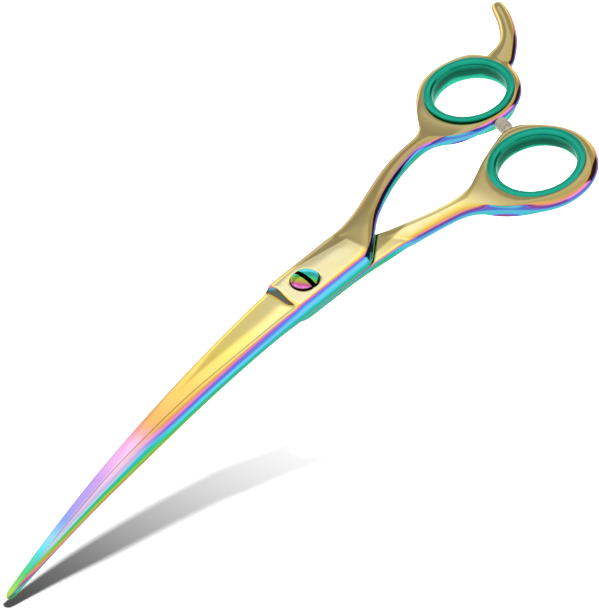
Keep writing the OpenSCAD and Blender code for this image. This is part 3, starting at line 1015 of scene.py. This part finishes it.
def rainbow_metal(name):
    """Mirror polished steel whose oxide colour follows the surface's tilt and the way along the blade, with
    a painted dark reflection on some flats, painted shade on the step face and painted glare on the blade
    face.
    """
    n = Coat(name)
    nx, ny, nz = n.split(n.normal)
    at_step = n.times(n.rise(n.x, -10.8 * MM, -10.2 * MM), n.rise(n.x, -6.2 * MM, -6.8 * MM))
    colour = n.ramp(rainbow_order(n, nx, ny, nz, at_step), RAINBOW)

    # painted dark reflection on the flats: the cut corner of the block, the root of the shank and the webs
    # at the rings
    corner = n.add(n.y, n.times(n.x, CUT_SKEW))
    corner = n.times(n.rise(corner, 5.9 * MM, 6.2 * MM), n.rise(n.x, 1 * MM, 3 * MM))
    before_rest = n.rise(n.x, 103 * MM, 97 * MM)
    root = n.times(n.rise(n.x, 17.2 * MM, 18.4 * MM), before_rest, n.rise(n.y, -7 * MM, -6 * MM))
    webs = n.times(n.rise(n.x, 44 * MM, 54 * MM), before_rest)
    dark_reflection_flats = n.math("MAXIMUM", n.math("MAXIMUM", corner, root), webs)
    colour = n.mix(colour, (*FLAT_DARK_REFLECTION, 1), n.times(dark_reflection_flats, n.rise(nz, 0.8, 0.96), DARK_REFLECTION_SHARE))

    # painted shade on the step face at the end of the block, over its olive tint; pale glare on the face of
    # the blade
    colour = n.mix(colour, (*STEP_OLIVE_SHADE, 1), n.times(at_step, n.rise(nx, -0.38, -0.5), STEP_SHARE))
    along = n.times(n.rise(n.x, -58 * MM, -75 * MM), n.rise(n.x, -114 * MM, -102 * MM))
    glare = n.times(along, n.rise(nz, 0.88, 0.92))
    colour = n.mix(colour, (*PALE, 1), n.times(glare, PALE_SHARE))

    lines = n.make("ShaderNodeMapping", Vector=n.spot, Scale=(60, 2600, 900))
    brushed = n.noise(lines.outputs["Vector"], 1.0, 4.0)
    smear = n.noise(n.spot, 160.0, 4.0)
    rough = n.add(n.times(smear, 0.06), n.times(brushed, 0.04), 0.03)
    n.put(Base_Color=colour, Metallic=1.0, Roughness=rough)
    n.bump(brushed, 0.01, 0.0002)
    return n.material


def screw_metal(name):
    """The screw head: teal on one side of the slot, lime to pink on the other, and black below its face,
    painted shade in the slot and the counterbore.
    """
    n = Coat(name)
    across = n.add(n.times(n.x, 1 / HEAD_R / MM), n.times(n.y, 0.35 / HEAD_R / MM))
    cloud = n.noise(n.spot, 420.0, 3.0)
    place = n.add(n.times(across, 0.5), 0.5, n.vary(cloud, 0.5, 0.25))
    face = n.ramp(place, [(0.02, PINK), (0.14, MAGENTA), (0.26, OLIVE), (0.4, LIME), (0.52, GREEN),
                          (0.66, TEAL), (0.85, CYAN), (1.0, SKY)])
    # painted shade: black below the block's top face, in the slot and the counterbore
    dark_top = 2 * HALF_T
    lit = n.rise(n.z, (dark_top + 0.3) * MM, (dark_top + 0.6) * MM, kind="LINEAR")
    grain = n.noise(n.spot, 900.0, 4.0)
    n.put(Base_Color=n.mix((*SLOT_SHADE, 1), face, lit), Metallic=1.0,
          Roughness=n.add(n.times(grain, 0.12), 0.05))
    n.bump(grain, 0.02)
    return n.material


def soft_green(name):
    """Clear emerald soft plastic with painted shade, deep green in the thick part that lines the bore, and
    painted light at the bottom lip.
    """
    n = Coat(name)
    cloud = n.noise(n.spot, 90.0, 3.0)
    # painted shade through the middle of the height, by the bore, and painted light at the bottom lip
    depth = n.rise(n.z, finger_low.z * MM, finger_high.z * MM, kind="LINEAR")
    place = n.add(depth, n.vary(cloud, 0.5, 0.5))
    colour = n.ramp(place, [
        (0.0, linear(84, 232, 194)), (0.24, linear(40, 206, 164)), (0.36, linear(0, 112, 88)),
        (0.6, linear(0, 92, 70)), (0.78, linear(0, 150, 116)), (1.0, linear(24, 178, 148))])
    n.put(Base_Color=colour, Roughness=n.add(n.times(cloud, 0.08), 0.06), IOR=1.47, Metallic=0.65,
          Transmission_Weight=0.35, Specular_Tint=(0.3, 1, 0.8, 1), Coat_Weight=0.08, Coat_Roughness=0.04)
    n.bump(n.noise(n.spot, 2600.0, 3.0), 0.02)
    return n.material


def milky_rubber(name):
    n = Coat(name)
    cloud = n.noise(n.spot, 500.0, 3.0)
    colour = n.ramp(cloud, [(0.3, linear(196, 188, 166)), (0.7, linear(226, 220, 204))])
    n.put(Base_Color=colour, Roughness=0.3, IOR=1.42, Transmission_Weight=0.1, Subsurface_Weight=0.3,
          Subsurface_Radius=(0.002, 0.002, 0.002))
    n.bump(cloud, 0.05)
    return n.material


def turned_steel(name, colour, rough):
    """Plain steel with fine turning rings about the pivot axis."""
    n = Coat(name)
    settings = {"wave_type": "RINGS", "rings_direction": "Z"}
    rings = n.make("ShaderNodeTexWave", settings, Vector=n.spot, Scale=900.0, Distortion=0.6)
    cloud = n.noise(n.spot, 400.0, 3.0)
    shade = n.ramp(cloud, [(0.3, tuple(c * 0.8 for c in colour)), (0.7, colour)])
    n.put(Base_Color=shade, Metallic=1.0, Roughness=n.add(n.times(cloud, 0.15), rough))
    n.bump(rings.outputs["Fac"], 0.06)
    return n.material


def washer_plastic(name):
    n = Coat(name)
    cloud = n.noise(n.spot, 700.0, 4.0)
    colour = n.ramp(cloud, [(0.3, linear(214, 214, 206)), (0.7, linear(236, 236, 230))])
    n.put(Base_Color=colour, Roughness=0.5)
    n.bump(cloud, 0.08)
    return n.material


def floor_paper(name):
    """Pale paper that glows more the farther it falls away, so shadows fade there."""
    n = Coat(name)
    cloud = n.noise(n.spot, 6.0, 3.0)
    colour = n.ramp(cloud, [(0.3, (0.078, 0.078, 0.078)), (0.7, (0.084, 0.084, 0.084))])
    n.put(Base_Color=colour, Roughness=0.75, Specular_IOR_Level=0.1, Emission_Color=(1, 1, 1, 1),
          Emission_Strength=n.rise(n.x, -130 * MM, 45 * MM))
    return n.material


def paint(obj, material):
    obj.data.materials.clear()
    obj.data.materials.append(material)


# ---------------------------------------------------------------- pieces

metal = rainbow_metal("rainbow_steel")
screw_coat = screw_metal("screw_rainbow_steel")
green = soft_green("green_insert")
rubber = milky_rubber("clear_rubber")
bushing_steel = turned_steel("bushing_steel", (0.42, 0.42, 0.44), 0.22)
spring_steel = turned_steel("spring_steel", (0.5, 0.5, 0.52), 0.18)
plastic = washer_plastic("washer_plastic")

front = mesh_object("front_half_metal", make_front(), front_place)
rear = mesh_object("rear_half_metal", make_rear(), rear_place)
screw = make_screw()
bushing = make_bushing()
bumper = make_bumper()
finger_profile = insert_profile(
    FINGER_HOLE_R, FINGER_BORE_R, FINGER_LIP_R, finger_high.z, finger_low.z, PARTING_Z - 1.65)
finger = turned("finger_insert_ring", finger_profile, (FINGER_C.x, FINGER_C.y, 0))
thumb_profile = insert_profile(
    THUMB_HOLE_R, THUMB_BORE_R, THUMB_LIP_R, thumb_high.z, thumb_low.z, thumb_low.z + 0.75)
thumb = turned("thumb_insert_ring", thumb_profile, (THUMB_C.x, THUMB_C.y, 0))

for piece, body, node, slot, material in (
        (front, "front", "front_half", "rainbow_steel", metal),
        (rear, "rear", "rear_half", "rainbow_steel", metal),
        (screw, "screw", "pivot_screw", "rainbow_steel", screw_coat),
        (bushing, "rear", "pivot_bushing", "bushing_steel", bushing_steel),
        (bumper, "rear", "bumper", "clear_rubber", rubber),
        (finger, "front", "finger_insert", "green_insert", green),
        (thumb, "rear", "thumb_insert", "green_insert", green)):
    paint(piece, material)
    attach(piece, body)
    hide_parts(node)

paint(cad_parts["spring_washer"], spring_steel)
paint(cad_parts["friction_washer"], plastic)

# ---------------------------------------------------------------- stage, light and camera

# The floor is level beyond the blade tip and falls away under the rings, as if the tip touched it.
FLOOR_SLOPE = 0.503
FLOOR_HALF = 1.5
FLOOR_BEND = cad_low[0] - 0.004
FLOOR_Z = cad_low[2] - 0.0006
bm = bmesh.new()
bmesh.ops.create_grid(bm, x_segments=8, y_segments=8, size=FLOOR_HALF)
for v in bm.verts:
    v.co.x += FLOOR_BEND
    v.co.z = FLOOR_Z - FLOOR_SLOPE * max(0, v.co.x - FLOOR_BEND)
mesh = bpy.data.meshes.new("floor")
bm.to_mesh(mesh)
bm.free()
floor = bpy.data.objects.new("floor", mesh)
bpy.context.scene.collection.objects.link(floor)
paint(floor, floor_paper("floor_paper"))
floor.visible_glossy = False


# brightness of the studio by the height of the direction looked at, on the sides of the object
STUDIO_BACK = [(-1, 0.9), (-0.02, 0.85), (0.08, 0.95), (0.14, 1.25), (0.33, 1.25), (0.37, 0.74), (0.6, 0.6),
               (0.672, 0.66), (0.68, 1.15), (1, 0.95)]
STUDIO_SIDE = [(-1, 0.9), (-0.1, 0.8), (0, 0.45), (0.15, 0.3), (0.45, 0.5), (0.6, 0.9), (0.75, 1.1),
               (1, 0.95)]
STUDIO_FRONT = [(-1, 0.9), (-0.05, 0.8), (0.1, 0.9), (0.42, 1.15), (0.6, 1.1), (0.8, 0.9), (1, 0.95)]
STUDIO_RIGHT = [(-1, 0.9), (-0.3, 0.7), (-0.15, 0.5), (-0.08, 0.03), (0.6, 0.03), (0.66, 0.8), (1, 0.95)]


def make_world():
    """White studio for reflections: bright in front, grey steps behind, a dark panel on the right."""
    world = bpy.data.worlds.new("studio")
    world.use_nodes = True
    bpy.context.scene.world = world
    n = Nodes(world.node_tree)
    x, y, z = n.split(n.make("ShaderNodeTexCoord").outputs["Generated"])
    height = n.add(n.times(z, 0.5), 0.5)
    flat = n.math("MAXIMUM", n.math("SQRT", n.add(n.times(x, x), n.times(y, y))), 0.001)

    def towards(turn, start, full):
        """1 within full degrees of a direction about Z, falling to 0 at start degrees."""
        a = math.radians(turn)
        dot = n.math("DIVIDE", n.add(n.times(x, math.cos(a)), n.times(y, math.sin(a))), flat)
        return n.rise(dot, math.cos(math.radians(start)), math.cos(math.radians(full)))

    def steps(stops):
        return n.curve(height, [((h + 1) / 2, v) for h, v in stops])

    look = n.mix(steps(STUDIO_SIDE), steps(STUDIO_BACK), towards(70, 75, 45))
    look = n.mix(look, steps(STUDIO_FRONT), towards(-58, 40, 30))
    look = n.mix(look, steps(STUDIO_RIGHT), towards(-20, 24, 18))
    # the camera sees plain white
    path = n.make("ShaderNodeLightPath")
    look = n.mix(look, (1, 1, 1, 1), path.outputs["Is Camera Ray"])
    n.tree.links.new(look, n.tree.nodes["Background"].inputs["Color"])


make_world()

# The sun lights the floor only: it draws the shadow without burning out the polished metal.
SUN_FROM = Vector((0.20, -0.32, 0.93))
sun = bpy.data.lights.new("sun", "SUN")
sun.energy, sun.angle = 43.0, math.radians(4.5)
sun_object = bpy.data.objects.new("sun", sun)
sun_object.rotation_mode = "QUATERNION"
sun_object.rotation_quaternion = SUN_FROM.to_track_quat("Z", "Y")
sun_object.visible_glossy = False
bpy.context.scene.collection.objects.link(sun_object)
lit_by_sun = bpy.data.collections.new("lit_by_sun")
lit_by_sun.objects.link(floor)
sun_object.light_linking.receiver_collection = lit_by_sun

VIEW_TURN = math.radians(40.85)
VIEW_TILT = math.radians(47)
VIEW_ROLL = math.radians(12)
VIEW_WIDE = 160.0
LENS = 1500.0
SENSOR = 36.0
AIM_RIGHT, AIM_UP = -1.44, -6.37


def make_camera():
    """Long lens at the photograph's angle: turned about Z, tilted from straight down, then rolled."""
    u = Vector((math.cos(VIEW_TURN), -math.sin(VIEW_TURN), 0))
    low, high = math.cos(VIEW_TILT), math.sin(VIEW_TILT)
    w = Vector((math.sin(VIEW_TURN) * low, math.cos(VIEW_TURN) * low, high))
    right = math.cos(VIEW_ROLL) * u - math.sin(VIEW_ROLL) * w
    up = math.sin(VIEW_ROLL) * u + math.cos(VIEW_ROLL) * w
    back = right.cross(up)
    aim = (Vector((0, 0, 2 * HALF_T)) + AIM_RIGHT * right + AIM_UP * up) * MM
    data = bpy.data.cameras.new("camera")
    data.lens, data.sensor_width = LENS, SENSOR
    data.clip_start, data.clip_end = 0.1, 20
    camera = bpy.data.objects.new("camera", data)
    distance = VIEW_WIDE * MM / 2 / (SENSOR / 2 / LENS)
    turn = Matrix((right, up, back)).transposed().to_4x4()
    camera.matrix_world = Matrix.Translation(aim + back * distance) @ turn
    bpy.context.scene.collection.objects.link(camera)
    bpy.context.scene.camera = camera


make_camera()
bpy.context.scene.view_settings.view_transform = "Standard"
